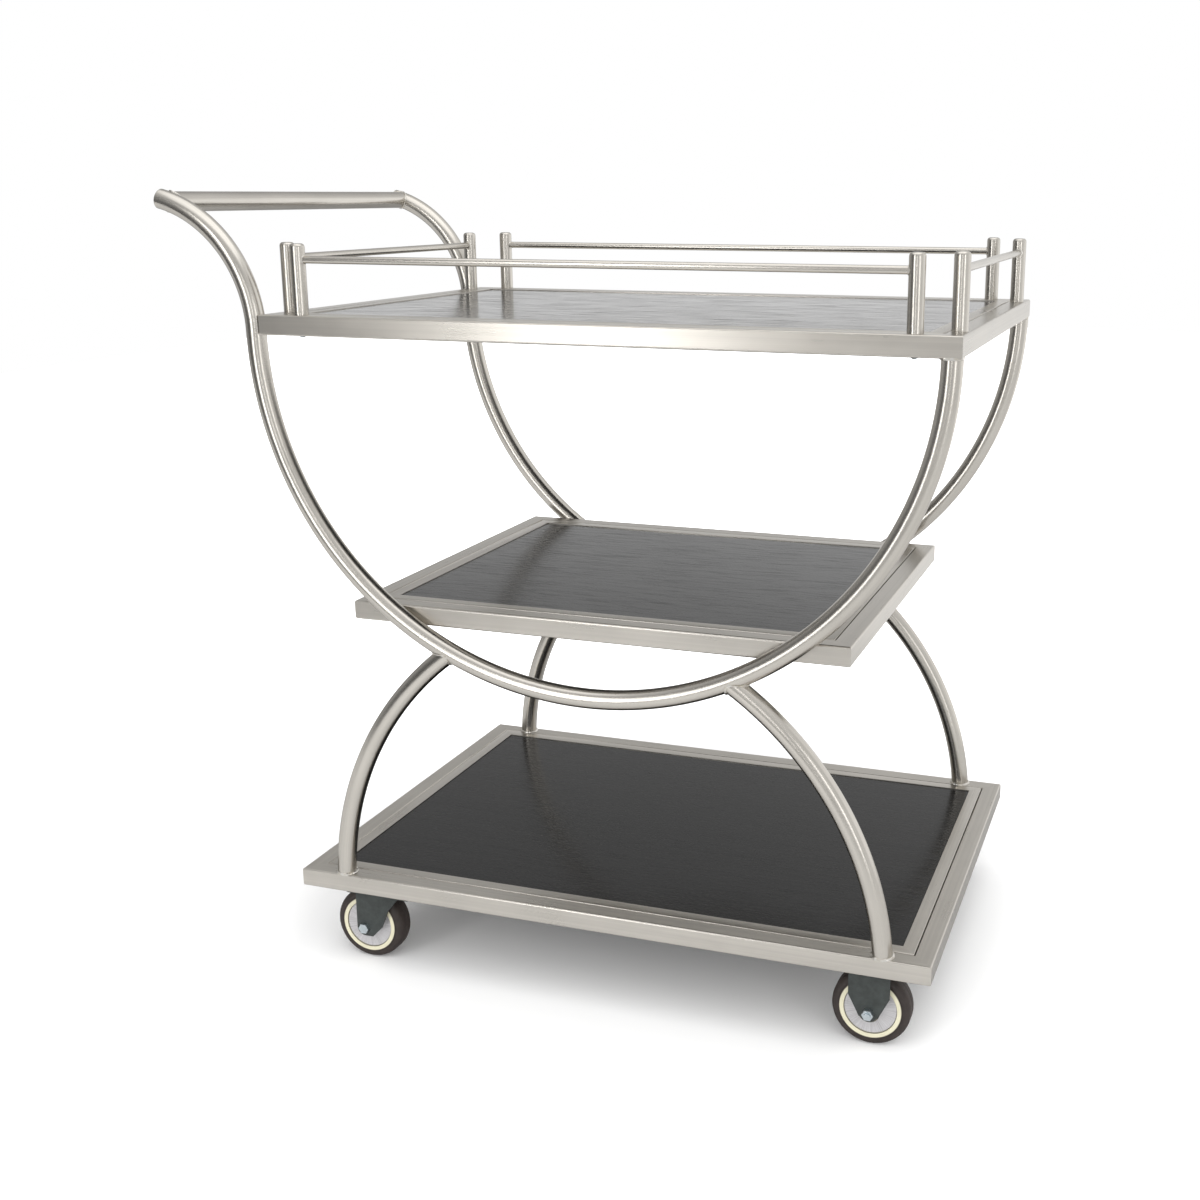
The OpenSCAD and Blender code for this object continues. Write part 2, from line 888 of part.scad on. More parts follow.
rail_posts(1);  // right_rail_posts
rail_posts(2);  // back_rail_posts
rail_posts(3);  // left_rail_posts
post_screws();
hoop(-1);  // front_hoop
hoop(1);  // back_hoop
handle_bar();
handle_plugs();
leg(-1, -1);  // front_left_leg
leg(1, -1);  // front_right_leg
leg(-1, 1);  // back_left_leg
leg(1, 1);  // back_right_leg
caster_gussets();
caster_bolts();
swivel_plate(-1);  // front_swivel_plate
swivel_plate(1);  // back_swivel_plate
swivel_balls();
swivel_fork(-1);  // front_swivel_fork
swivel_fork(1);  // back_swivel_fork
rigid_fork(-1);  // front_rigid_fork
rigid_fork(1);  // back_rigid_fork
swivel_axle(-1);  // front_swivel_axle
swivel_axle(1);  // back_swivel_axle
rigid_axles();
tyre(-1, -1);  // front_swivel_tyre
tyre(-1, 1);  // back_swivel_tyre
tyre(1, -1);  // front_rigid_tyre
tyre(1, 1);  // back_rigid_tyre
core(-1, -1);  // front_swivel_core
core(-1, 1);  // back_swivel_core
core(1, -1);  // front_rigid_core
core(1, 1);  // back_rigid_core
covers(-1, -1);  // front_swivel_covers
covers(-1, 1);  // back_swivel_covers
covers(1, -1);  // front_rigid_covers
covers(1, 1);  // back_rigid_covers
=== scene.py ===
import math

import bmesh
import bpy
from mathutils import Matrix, Vector


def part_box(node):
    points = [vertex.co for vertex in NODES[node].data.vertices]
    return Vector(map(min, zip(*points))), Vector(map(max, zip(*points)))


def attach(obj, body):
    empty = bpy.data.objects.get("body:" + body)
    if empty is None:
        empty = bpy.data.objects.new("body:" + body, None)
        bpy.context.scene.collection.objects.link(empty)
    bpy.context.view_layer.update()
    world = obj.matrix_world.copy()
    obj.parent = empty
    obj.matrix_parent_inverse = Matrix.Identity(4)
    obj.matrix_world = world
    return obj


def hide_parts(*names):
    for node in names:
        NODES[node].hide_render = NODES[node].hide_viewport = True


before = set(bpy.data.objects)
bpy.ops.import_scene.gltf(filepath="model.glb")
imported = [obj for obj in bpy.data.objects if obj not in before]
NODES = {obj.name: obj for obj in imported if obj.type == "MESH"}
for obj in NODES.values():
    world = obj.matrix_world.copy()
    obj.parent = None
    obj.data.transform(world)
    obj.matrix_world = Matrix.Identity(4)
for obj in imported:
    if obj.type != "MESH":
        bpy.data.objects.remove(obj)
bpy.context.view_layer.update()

bl_info = {
    "name": "Bar Cart",
    "version": (1, 0, 0),
    "blender": (4, 5, 0),
    "location": "3D View > Sidebar > Bar Cart",
    "description": "Dresses a three-shelf bar cart in brushed steel, dark laminate and rubber",
    "category": "Object",
}

SIDES = ("front", "back")
CASTERS = ("front_swivel", "back_swivel", "front_rigid", "back_rigid")
SHELVES = ("top", "middle", "bottom")


def span(node):
    """Size of a CAD node along each axis."""
    low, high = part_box(node)
    return high - low


def middle(node):
    """Middle of a CAD node's box."""
    low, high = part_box(node)
    return (low + high) / 2


# Sizes that the CAD boxes give
TUBE_R = span("front_hoop").y / 2
HOOP_Y = middle("back_hoop").y
RAIL_R = span("front_rail").z / 2
POST_R = span("front_rail_posts").y / 2
SHELF_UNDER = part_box("top_front_tube")[0].z
FOOT_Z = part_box("bottom_front_tube")[1].z
OUTER_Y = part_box("top_back_tube")[1].y
RIGHT_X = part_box("top_right_tube")[1].x
SHELF_X = middle("top_front_tube").x
WHEEL_R = span("front_rigid_tyre").z / 2
TYRE_W = span("front_rigid_tyre").y

# The planes in which hoops and legs lie, and the ends at which the legs stand
PLANES = (("front", -HOOP_Y), ("back", HOOP_Y))
ENDS = ((-1, "left"), (1, "right"))

# Gap between a tube's end and the piece that it is welded to
GAP = 0.0002

WHITE = (1, 1, 1, 1)

# Fineness of the meshes
MERGE = 1e-6
NEAR = 1e-5
SMOOTH_BELOW = math.radians(32)
CORNER_ABOVE = math.radians(25)
ROUND_STEPS = 64
HOOP_STEPS = 160
HANDLE_STEPS = 44
LEG_STEPS = 60
TYRE_STEPS = 112
RIB_STEPS = 4
BEAD_SIDES = 8
HALVINGS = 30

# The photograph's camera: focal length and sensor in mm, angles in degrees
LENS = 44.645
SENSOR = 36.0
SHIFT = (-0.09913, -0.02398)
CAMERA_SPOT = (0.77026, -1.92680, 1.04419)
CAMERA_TURN = 18.113
CAMERA_DIP = 14.251
CAMERA_ROLL = 0.093


class BarCartShape(bpy.types.PropertyGroup):
    """Sizes of the bends, the welds and the wheels' details"""

    hoop_r: bpy.props.FloatProperty(
        name="Hoop radius", description="Centre-line radius of the hoops",
        default=0.4446, unit="LENGTH")
    handle_r: bpy.props.FloatProperty(
        name="Handle bend radius", description="Centre-line radius of the bends up to the handle",
        default=0.168, unit="LENGTH")
    handle_end_angle: bpy.props.FloatProperty(
        name="Handle end angle", description="Angle round the bend at which the hoops end",
        default=math.radians(76), subtype="ANGLE")
    handle_bar_angle: bpy.props.FloatProperty(
        name="Handle bar angle", description="Angle round the bend at which the handle bar joins",
        default=math.radians(72), subtype="ANGLE")
    leg_r: bpy.props.FloatProperty(
        name="Leg radius", description="Centre-line radius of the legs",
        default=0.437, unit="LENGTH")
    leg_foot: bpy.props.FloatProperty(
        name="Leg foot", description="Distance of each leg's foot from the shelf's middle",
        default=0.375, unit="LENGTH")
    leg_meet_angle: bpy.props.FloatProperty(
        name="Leg head angle",
        description="Angle round the hoop from its lowest point to a leg's head",
        default=math.radians(25), subtype="ANGLE")
    bezel_edge_r: bpy.props.FloatProperty(
        name="Bezel edge", description="Radius of the bezels' rolled outer edge",
        default=0.0013, unit="LENGTH")
    post_top_r: bpy.props.FloatProperty(
        name="Post top", description="Radius of the gallery posts' rounded tops",
        default=0.0045, unit="LENGTH")
    weld_r: bpy.props.FloatProperty(
        name="Weld bead", description="Radius of the weld beads between the large tubes",
        default=0.0021, unit="LENGTH")
    rail_weld_r: bpy.props.FloatProperty(
        name="Rail weld bead", description="Radius of the weld beads at the gallery rails",
        default=0.0010, unit="LENGTH")
    rib_count: bpy.props.IntProperty(
        name="Cover ribs", description="Radial ribs pressed into each wheel cover",
        default=60, min=24, max=120)
    rib_depth: bpy.props.FloatProperty(
        name="Rib depth", description="Depth of the radial ribs in the wheel covers",
        default=0.00035, unit="LENGTH")


class BarCartColours(bpy.types.PropertyGroup):
    """Colours and finishes of the cart"""

    steel: bpy.props.FloatVectorProperty(
        name="Steel", description="Colour of the brushed stainless steel",
        default=(0.62, 0.59, 0.54), subtype="COLOR", min=0, max=1)
    tube_roughness: bpy.props.FloatProperty(
        name="Tube roughness", description="Roughness of the round tubes between their lines",
        default=0.21, min=0, max=1, subtype="FACTOR")
    flat_roughness: bpy.props.FloatProperty(
        name="Flat roughness", description="Roughness of the square tubes and bezels",
        default=0.24, min=0, max=1, subtype="FACTOR")
    weld: bpy.props.FloatVectorProperty(
        name="Weld", description="Colour of the polished weld beads",
        default=(0.72, 0.70, 0.66), subtype="COLOR", min=0, max=1)
    laminate: bpy.props.FloatVectorProperty(
        name="Laminate", description="Colour of the dark wood laminate",
        default=(0.0065, 0.0062, 0.0060), subtype="COLOR", min=0, max=1)
    laminate_roughness: bpy.props.FloatProperty(
        name="Laminate roughness", description="Roughness of the laminate between its pores",
        default=0.11, min=0, max=1, subtype="FACTOR")
    paint: bpy.props.FloatVectorProperty(
        name="Caster paint", description="Colour of the painted caster sheet",
        default=(0.030, 0.036, 0.034), subtype="COLOR", min=0, max=1)
    rubber: bpy.props.FloatVectorProperty(
        name="Tyre rubber", description="Colour of the tyres",
        default=(0.024, 0.017, 0.0145), subtype="COLOR", min=0, max=1)
    rim: bpy.props.FloatVectorProperty(
        name="Rim", description="Colour of the moulded wheel rims",
        default=(0.71, 0.675, 0.50), subtype="COLOR", min=0, max=1)
    cover: bpy.props.FloatVectorProperty(
        name="Wheel cover", description="Colour of the discs that close the wheels",
        default=(0.53, 0.52, 0.53), subtype="COLOR", min=0, max=1)
    zinc: bpy.props.FloatVectorProperty(
        name="Zinc", description="Colour of the plated bolts",
        default=(0.60, 0.66, 0.69), subtype="COLOR", min=0, max=1)


class BarCartStage(bpy.types.PropertyGroup):
    """Floor, light and lamps"""

    floor: bpy.props.FloatVectorProperty(
        name="Floor", description="Colour of the floor",
        default=(0.92, 0.92, 0.92), subtype="COLOR", min=0, max=1)
    floor_glow: bpy.props.FloatProperty(
        name="Floor lift", description="Light that the floor seems to give where it is seen",
        default=0.07, min=0, max=1)
    fill: bpy.props.FloatProperty(
        name="Fill light", description="Strength of the even light from all round",
        default=0.30, min=0, max=2)
    sky: bpy.props.FloatProperty(
        name="Front light", description="Strength of the wide soft light from above the camera",
        default=1.9, min=0, max=4)
    overhead_power: bpy.props.FloatProperty(
        name="Overhead lamp", description="Power of the wide lamp above the cart",
        default=16, min=0, unit="POWER")
    strip_power: bpy.props.FloatProperty(
        name="Strip lamp", description="Power of the tall soft box at the front left",
        default=16.5, min=0, unit="POWER")
    thin_power: bpy.props.FloatProperty(
        name="Thin lamp", description="Power of the narrow soft box by the camera",
        default=3.6, min=0, unit="POWER")
    side_power: bpy.props.FloatProperty(
        name="Side lamp", description="Power of the soft box at the front right",
        default=6.5, min=0, unit="POWER")


class Wire:
    """A socket in a material, on which Python's arithmetic adds Math nodes."""

    def __init__(self, board, socket):
        self.board = board
        self.socket = socket

    def math(self, operation, *values):
        return self.board.add("ShaderNodeMath", {"operation": operation},
                              dict(enumerate((self, *values))))

    def __add__(self, other):
        return self.math("ADD", other)

    __radd__ = __add__

    def __sub__(self, other):
        return self.math("SUBTRACT", other)

    def __rsub__(self, other):
        return self.board.add("ShaderNodeMath", {"operation": "SUBTRACT"}, {0: other, 1: self})

    def __mul__(self, other):
        return self.math("MULTIPLY", other)

    __rmul__ = __mul__

    def __gt__(self, other):
        return self.math("GREATER_THAN", other)

    def __lt__(self, other):
        return self.math("LESS_THAN", other)

    def __abs__(self):
        return self.math("ABSOLUTE")

    def between(self, low, high):
        """0 below low, 1 above high, and straight between."""
        return self.board.add("ShaderNodeMapRange", {},
                              {"Value": self, "From Min": low, "From Max": high})


class Board:
    """The node board of a material or of the world."""

    def __init__(self, owner):
        owner.use_nodes = True
        self.tree = owner.node_tree
        self.tree.nodes.clear()

    def add(self, kind, settings, sockets, output=0):
        """A node: its settings first, then the values or links of its sockets."""
        node = self.tree.nodes.new(kind)
        for name, value in settings.items():
            setattr(node, name, value)
        for name, value in sockets.items():
            if isinstance(value, Wire):
                self.tree.links.new(value.socket, node.inputs[name])
            else:
                node.inputs[name].default_value = value
        return Wire(self, node.outputs[output])

    def spot(self):
        """The Object coordinates as one vector, in metres."""
        return self.add("ShaderNodeTexCoord", {}, {}, "Object")

    def place(self):
        """The three Object coordinates, in metres."""
        return self.split(self.spot())

    def about(self, centre_x, centre_z):
        """Angle and reach about an axis along Y, and the way along that axis."""
        x, y, z = self.place()
        east, up = x - centre_x, z - centre_z
        return up.math("ARCTAN2", east), (east * east + up * up).math("SQRT"), y

    def ray(self, kind):
        """1 for light rays of one kind, and 0 for others."""
        return self.add("ShaderNodeLightPath", {}, {}, f"Is {kind} Ray")

    def split(self, vector):
        split = self.tree.nodes.new("ShaderNodeSeparateXYZ")
        self.tree.links.new(vector.socket, split.inputs[0])
        return [Wire(self, out) for out in split.outputs]

    def join(self, x, y, z):
        return self.add("ShaderNodeCombineXYZ", {}, {0: x, 1: y, 2: z})

    def noise(self, vector, detail=2.0, roughness=0.5, scale=1.0):
        return self.add("ShaderNodeTexNoise", {},
                        {"Vector": vector, "Scale": scale, "Detail": detail,
                         "Roughness": roughness})

    def blend(self, factor, first, second):
        """Colour that goes from first to second."""
        return self.add("ShaderNodeMix", {"data_type": "RGBA"},
                        {0: factor, 6: first, 7: second}, 2)

    def bump(self, height, strength, distance):
        return self.add("ShaderNodeBump", {},
                        {"Height": height, "Strength": strength, "Distance": distance})

    def surface(self, kind, sockets):
        """Ends the board in a surface of one shader."""
        self.end(self.add(kind, {}, sockets))

    def end(self, shader, kind="ShaderNodeOutputMaterial"):
        output = self.tree.nodes.new(kind)
        self.tree.links.new(shader.socket, output.inputs["Surface"])


def shade(colour, gain=1.0):
    """A colour with its alpha, made lighter or darker."""
    return (*(min(1.0, c * gain) for c in colour), 1.0)


def new_material(name):
    material = bpy.data.materials.new(name)
    return material, Board(material)


def along_x(board):
    """Way along a straight tube that runs along X, and the two ways across it."""
    return board.place()


def along_y(board):
    """The same for a tube that runs along Y."""
    x, y, z = board.place()
    return y, x, z


def along_z(board):
    """The same for a tube that runs along Z."""
    x, y, z = board.place()
    return z, x, y


def round_bend(centre, radius):
    """Way along a tube that is bent round a centre in the XZ plane."""
    def lay(board):
        turn, reach, y = board.about(*centre)
        return turn * radius, reach - radius, y
    return lay


def along_hoop(hoop, handle):
    """Way along a hoop and on round the bend up to its handle."""
    def lay(board):
        run_a, out_a, side = round_bend(*hoop)(board)
        run_b, out_b, _ = round_bend(*handle)(board)
        x, _, z = board.place()
        second = (z > hoop[0][1]) * (x < hoop[0][0])
        first = 1 - second
        return run_a * first + run_b * second, out_a * first - out_b * second, side
    return lay


def round_strips(node):
    """Way along the four strips of a frame that lies flat, mitred at its corners."""
    centre = middle(node)
    half = span(node) / 2

    def lay(board):
        x, y, z = board.place()
        past_x = abs(x - centre.x) - half.x
        past_y = abs(y - centre.y) - half.y
        long_side = past_y > past_x
        short_side = 1 - long_side
        return x * long_side + y * short_side, y * long_side + x * short_side, z
    return lay


def brushed_steel(name, lay, colours, roughness):
    """Stainless steel with fine brushed lines and soft bands along each tube."""
    material, board = new_material(name)
    run, side, rise = lay(board)
    lines = board.noise(board.join(run * 4, side * 620, rise * 620), 1.0, 0.5)
    bands = board.noise(board.join(run * 1.6, side * 260, rise * 260), 2.0, 0.5)
    clouds = board.noise(board.join(run * 11, side * 22, rise * 22), 3.0, 0.55)
    tone = (bands * 0.55 + clouds * 0.45).between(0.32, 0.68)
    colour = board.blend(tone, shade(colours.steel, 0.90), shade(colours.steel, 1.08))
    colour = board.blend(lines.between(0.3, 0.7) * 0.14, colour, shade(colours.steel, 0.82))
    board.surface("ShaderNodeBsdfPrincipled", {
        "Base Color": colour, "Metallic": 1.0,
        "Roughness": roughness + lines * 0.03 + clouds * 0.06,
        "Specular Tint": (0.75, 0.75, 0.75, 1.0),
        "Normal": board.bump(bands, 0.05, 0.00001)})
    return material


def weld_steel(colours):
    """Bright, slightly uneven weld metal with a straw tint in places."""
    material, board = new_material("weld_steel")
    spot = board.spot()
    patches = board.noise(spot, 3.0, 0.6, 160.0)
    ripples = board.noise(spot, 2.0, 0.5, 900.0)
    colour = board.blend(patches.between(0.45, 0.75), shade(colours.weld),
                         (0.50, 0.45, 0.36, 1.0))
    board.surface("ShaderNodeBsdfPrincipled", {
        "Base Color": colour, "Metallic": 1.0, "Roughness": 0.20 + patches * 0.22,
        "Normal": board.bump(ripples, 0.4, 0.0002)})
    return material


def wood_laminate(colours):
    """Near-black wood-grain laminate with open pores and slow rings along X."""
    material, board = new_material("wood_laminate")
    x, y, z = board.place()
    sway = board.noise(board.join(x * 2.4, y * 5.5, z), 2.0, 0.5)
    across = y + sway * 0.05
    rings = board.noise(board.join(x * 2.2, across * 190, z * 20), 3.0, 0.6)
    fibres = board.noise(board.join(x * 12, across * 950, z * 200), 3.0, 0.6)
    pores = board.noise(board.join(x * 16, across * 640, z * 60), 2.0, 0.5).between(0.52, 0.66)
    tone = (rings * 0.6 + fibres * 0.4).between(0.35, 0.65)
    colour = board.blend(tone, shade(colours.laminate, 0.45), shade(colours.laminate, 1.75))
    colour = board.blend(pores * 0.8, colour, shade(colours.laminate, 0.25))
    roughness = colours.laminate_roughness + fibres * 0.10 + pores * 0.22
    board.surface("ShaderNodeBsdfPrincipled", {
        "Base Color": colour, "Roughness": roughness, "IOR": 1.37,
        "Normal": board.bump(fibres * 0.4 + (1 - pores), 0.12, 0.00008)})
    return material


def caster_paint(colours):
    """Satin dark paint with a faint orange peel and an uneven film of dust."""
    material, board = new_material("caster_paint")
    spot = board.spot()
    peel = board.noise(spot, 2.0, 0.5, 1100.0)
    dust = board.noise(spot, 4.0, 0.6, 95.0)
    colour = board.blend(dust.between(0.35, 0.75), shade(colours.paint, 0.8),
                         shade(colours.paint, 1.5))
    board.surface("ShaderNodeBsdfPrincipled", {
        "Base Color": colour, "Roughness": 0.30 + dust * 0.18,
        "Normal": board.bump(peel, 0.25, 0.0001)})
    return material


def zinc_plate(colours):
    """Bluish zinc on bolts and nuts, with fine turning marks."""
    material, board = new_material("zinc_plate")
    x, y, z = board.place()
    cloudy = board.noise(board.spot(), 3.0, 0.6, 260.0)
    marks = board.noise(board.join(x * 1500, y * 300, z * 1500), 2.0, 0.5)
    colour = board.blend(cloudy, shade(colours.zinc, 0.85), shade(colours.zinc, 1.15))
    board.surface("ShaderNodeBsdfPrincipled", {
        "Base Color": colour, "Metallic": 1.0, "Roughness": 0.24 + cloudy * 0.16,
        "Normal": board.bump(marks, 0.2, 0.00004)})
    return material


def tyre_rubber(name, centre, colours):
    """Brown-black rubber with moulding grain across the tread and a dusty bloom."""
    material, board = new_material(name)
    turn, reach, y = board.about(centre.x, centre.z)
    grain = board.noise(board.join(turn * 55, y * 60, reach * 260), 3.0, 0.6)
    bloom = board.noise(board.spot(), 4.0, 0.6, 70.0)
    worn = reach.between(WHEEL_R - 0.0015, WHEEL_R - 0.0002)
    colour = board.blend(bloom.between(0.35, 0.8), shade(colours.rubber),
                         shade(colours.rubber, 1.8))
    colour = board.blend(worn * 0.35, colour, shade(colours.rubber, 2.2))
    board.surface("ShaderNodeBsdfPrincipled", {
        "Base Color": colour, "Roughness": 0.50 + grain * 0.2,
        "Normal": board.bump(grain, 0.35, 0.0004)})
    return material


def moulded_rim(name, centre, inner, outer, colours):
    """Cream moulded plastic with a soft sheen, and painted shade in thin rings where it meets tyre
    and cover.
    """
    material, board = new_material(name)
    spot = board.spot()
    _, reach, _ = board.about(centre.x, centre.z)
    cloudy = board.noise(spot, 3.0, 0.5, 60.0)
    fine = board.noise(spot, 2.0, 0.5, 1300.0)
    # Painted shade: the rim darkens in thin rings next to the tyre and the cover, in place of the
    # shadow in the grooves between them
    near_tyre = reach.between(outer - 0.0009, outer - 0.0003)
    past_cover = reach.between(inner + 0.0002, inner + 0.0007)
    painted_groove_shade = near_tyre + 1 - past_cover
    colour = board.blend(cloudy.between(0.3, 0.7), shade(colours.rim, 0.93),
                         shade(colours.rim, 1.04))
    colour = board.blend(painted_groove_shade * 0.85, colour, shade(colours.rubber, 2.5))
    board.surface("ShaderNodeBsdfPrincipled", {
        "Base Color": colour, "Roughness": 0.34 + cloudy * 0.12,
        "Normal": board.bump(fine, 0.15, 0.0001)})
    return material


def ribbed_cover(name, centre, colours):
    """Light grey disc with radial streaks and a soft shine."""
    material, board = new_material(name)
    turn, reach, y = board.about(centre.x, centre.z)
    streaks = board.noise(board.join(turn * 42, reach * 12, y), 2.0, 0.6)
    colour = board.blend(streaks.between(0.3, 0.7), shade(colours.cover, 0.82),
                         shade(colours.cover, 1.18))
    board.surface("ShaderNodeBsdfPrincipled", {
        "Base Color": colour, "Metallic": 0.35, "Roughness": 0.30 + streaks * 0.15,
        "Normal": board.bump(streaks, 0.3, 0.0003)})
    return material


def dress(node, material):
    """Gives a CAD node its material."""
    slots = NODES[node].data.materials
    slots.clear()
    slots.append(material)


def finish_piece(bm, name, material, body="chassis"):
    """Makes a named piece of a bmesh, with smooth faces and crisp edges."""
    for face in bm.faces:
        face.smooth = True
    for edge in bm.edges:
        edge.smooth = len(edge.link_faces) != 2 or edge.calc_face_angle() < SMOOTH_BELOW
    mesh = bpy.data.meshes.new(name)
    bm.to_mesh(mesh)
    bm.free()
    piece = bpy.data.objects.new(name, mesh)
    bpy.context.scene.collection.objects.link(piece)
    mesh.materials.append(material)
    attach(piece, body)
    return piece


def bevelled_copy(node, width, chosen, segments):
    """A merged copy of a CAD node's mesh, with the chosen edges rounded."""
    bm = bmesh.new()
    bm.from_mesh(NODES[node].data)
    bmesh.ops.remove_doubles(bm, verts=bm.verts[:], dist=MERGE)
    bmesh.ops.dissolve_limit(bm, angle_limit=math.radians(1), verts=bm.verts[:],
                             edges=bm.edges[:], delimit=set())
    edges = [edge for edge in bm.edges if len(edge.link_faces) == 2
             and edge.calc_face_angle() > CORNER_ABOVE and chosen(edge)]
    bmesh.ops.bevel(bm, geom=edges, offset=width, offset_type="OFFSET", segments=segments,
                    profile=0.5, affect="EDGES", material=-1, clamp_overlap=True)
    bmesh.ops.recalc_face_normals(bm, faces=bm.faces[:])
    return bm


def add_to(bm, other):
    """Adds another bmesh to this one and frees it."""
    part = bpy.data.meshes.new("part")
    other.to_mesh(part)
    other.free()
    bm.from_mesh(part)
    bpy.data.meshes.remove(part)


def with_edges(verts):
    """The vertices of a ring together with the edges between them."""
    return verts + list({edge for vert in verts for edge in vert.link_edges})


def start_ring(bm, plane_y, centre, radius, angle):
    """First ring of a round tube that is bent about a centre in the XZ plane."""
    spot = (centre[0] + radius * math.cos(angle), plane_y, centre[1] + radius * math.sin(angle))
    ring = bmesh.ops.create_circle(
        bm, segments=ROUND_STEPS, radius=TUBE_R,
        matrix=Matrix.Translation(spot) @ Matrix.Rotation(-angle, 4, "Y"))["verts"]
    return with_edges(ring)


def sweep_ring(bm, ring, plane_y, centre, angle, steps):
    """Bends a tube on from a ring, and returns its last ring."""
    done = bmesh.ops.spin(bm, geom=ring, cent=(centre[0], plane_y, centre[1]), axis=(0, -1, 0),
                          dvec=(0, 0, 0), angle=angle, steps=steps, use_merge=False,
                          use_duplicate=False)
    return [item for item in done["geom_last"] if not isinstance(item, bmesh.types.BMFace)]


def close_tube(bm):
    """Caps a tube's ends, which leaves a solid with no bore, and turns its faces outwards."""
    bmesh.ops.remove_doubles(bm, verts=bm.verts[:], dist=MERGE)
    bmesh.ops.holes_fill(bm, edges=[edge for edge in bm.edges if edge.is_boundary], sides=0)
    bmesh.ops.recalc_face_normals(bm, faces=bm.faces[:])


def spin_outline(bm, outline, axis, steps, centre, closed=True):
    """Spins an outline about an axis through the origin, and moves the result to a centre."""
    verts = [bm.verts.new(spot) for spot in outline]
    following = verts[1:] + verts[:1] if closed else verts[1:]
    edges = [bm.edges.new(pair) for pair in zip(verts, following)]
    bmesh.ops.spin(bm, geom=verts + edges, cent=(0, 0, 0), axis=axis, dvec=(0, 0, 0),
                   angle=2 * math.pi, steps=steps, use_merge=True, use_duplicate=False)
    bmesh.ops.remove_doubles(bm, verts=bm.verts[:], dist=MERGE)
    bmesh.ops.recalc_face_normals(bm, faces=bm.faces[:])
    bmesh.ops.translate(bm, vec=centre, verts=bm.verts[:])


def bead_ring(bm, centre, axis, ring_r, bead_r, settle=None, ripples=26, steps=ROUND_STEPS):
    """Weld bead round an axis, rippled, and settled onto the tube that it joins."""
    ripple_share, sink_share = 0.16, 0.3
    axis = Vector(axis).normalized()
    first = axis.orthogonal().normalized()
    second = axis.cross(first)
    turn = Matrix((first, second, axis)).transposed().to_4x4()
    start = bmesh.ops.create_circle(
        bm, segments=BEAD_SIDES, radius=bead_r,
        matrix=Matrix.Translation(Vector(centre) + first * ring_r) @ turn
        @ Matrix.Rotation(math.pi / 2, 4, "X"))["verts"]
    old = set(bm.verts) - set(start)
    bmesh.ops.spin(bm, geom=with_edges(start), cent=centre, axis=axis, dvec=(0, 0, 0),
                   angle=2 * math.pi, steps=steps, use_merge=True, use_duplicate=False)
    fresh = [v for v in bm.verts if v not in old]
    for vert in fresh:
        away = vert.co - Vector(centre)
        angle = math.atan2(away.dot(second), away.dot(first))
        spoke = first * math.cos(angle) + second * math.sin(angle)
        core = Vector(centre) + spoke * ring_r
        swell = 1 + ripple_share * math.sin(ripples * angle)
        vert.co = core + (vert.co - core) * swell
        if settle:
            vert.co += axis * settle(Vector(centre) + spoke * (ring_r - bead_r * sink_share))


def way_out(axis, farthest, inside):
    """Measures how far along an axis a point has to go until it isn't inside any more."""
    def settle(point):
        low, high = 0.0, farthest
        for _ in range(HALVINGS):
            mid = (low + high) / 2
            if inside(point + axis * mid):
                low = mid
            else:
                high = mid
        return high
    return settle


def onto_bend(centre, radius, plane_y, tube_r, axis):
    """Way along an axis to the skin of a tube bent in the XZ plane."""
    def inside(spot):
        reach = math.hypot(spot.x - centre[0], spot.z - centre[1]) - radius
        return math.hypot(reach, spot.y - plane_y) < tube_r
    return way_out(axis, 0.05, inside)


def onto_post(post_x, post_y, axis):
    """Way along an axis to the skin of a gallery post."""
    def inside(spot):
        return math.hypot(spot.x - post_x, spot.y - post_y) < POST_R
    return way_out(axis, 0.03, inside)


def bends():
    """Centres and radii of the hoops, the handle bends and the legs, in the XZ plane."""
    shape = bpy.context.scene.bar_cart_shape
    low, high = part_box("front_hoop")
    hoop = ((high.x - TUBE_R - shape.hoop_r, low.z + TUBE_R + shape.hoop_r), shape.hoop_r)
    handle = ((hoop[0][0] - shape.hoop_r - shape.handle_r, hoop[0][1]), shape.handle_r)
    legs = {}
    for end, _ in ENDS:
        foot = Vector((SHELF_X + end * shape.leg_foot, FOOT_Z))
        head = Vector((hoop[0][0] + end * shape.hoop_r * math.sin(shape.leg_meet_angle),
                       hoop[0][1] - shape.hoop_r * math.cos(shape.leg_meet_angle)))
        chord = (head - foot).length
        along = (head - foot) / chord
        depth = math.sqrt(shape.leg_r ** 2 - chord ** 2 / 4)
        centre = (foot + head) / 2 + end * depth * Vector((-along.y, along.x))
        legs[end] = {"foot": foot, "head": head, "centre": tuple(centre)}
    return hoop, handle, legs


class BARCART_OT_camera(bpy.types.Operator):
    """Place the camera at the height and angle of the photograph"""

    bl_idname = "bar_cart.camera"
    bl_label = "Camera"

    def execute(self, context):
        data = bpy.data.cameras.new("view_camera")
        data.sensor_width = SENSOR
        data.lens = LENS
        data.shift_x, data.shift_y = SHIFT
        data.clip_end = 60.0
        camera = bpy.data.objects.new("view_camera", data)
        context.scene.collection.objects.link(camera)
        camera.matrix_world = (
            Matrix.Translation(CAMERA_SPOT)
            @ Matrix.Rotation(math.radians(CAMERA_TURN), 4, "Z")
            @ Matrix.Rotation(math.radians(90 - CAMERA_DIP), 4, "X")
            @ Matrix.Rotation(math.radians(CAMERA_ROLL), 4, "Z"))
        context.scene.camera = camera
        return {"FINISHED"}


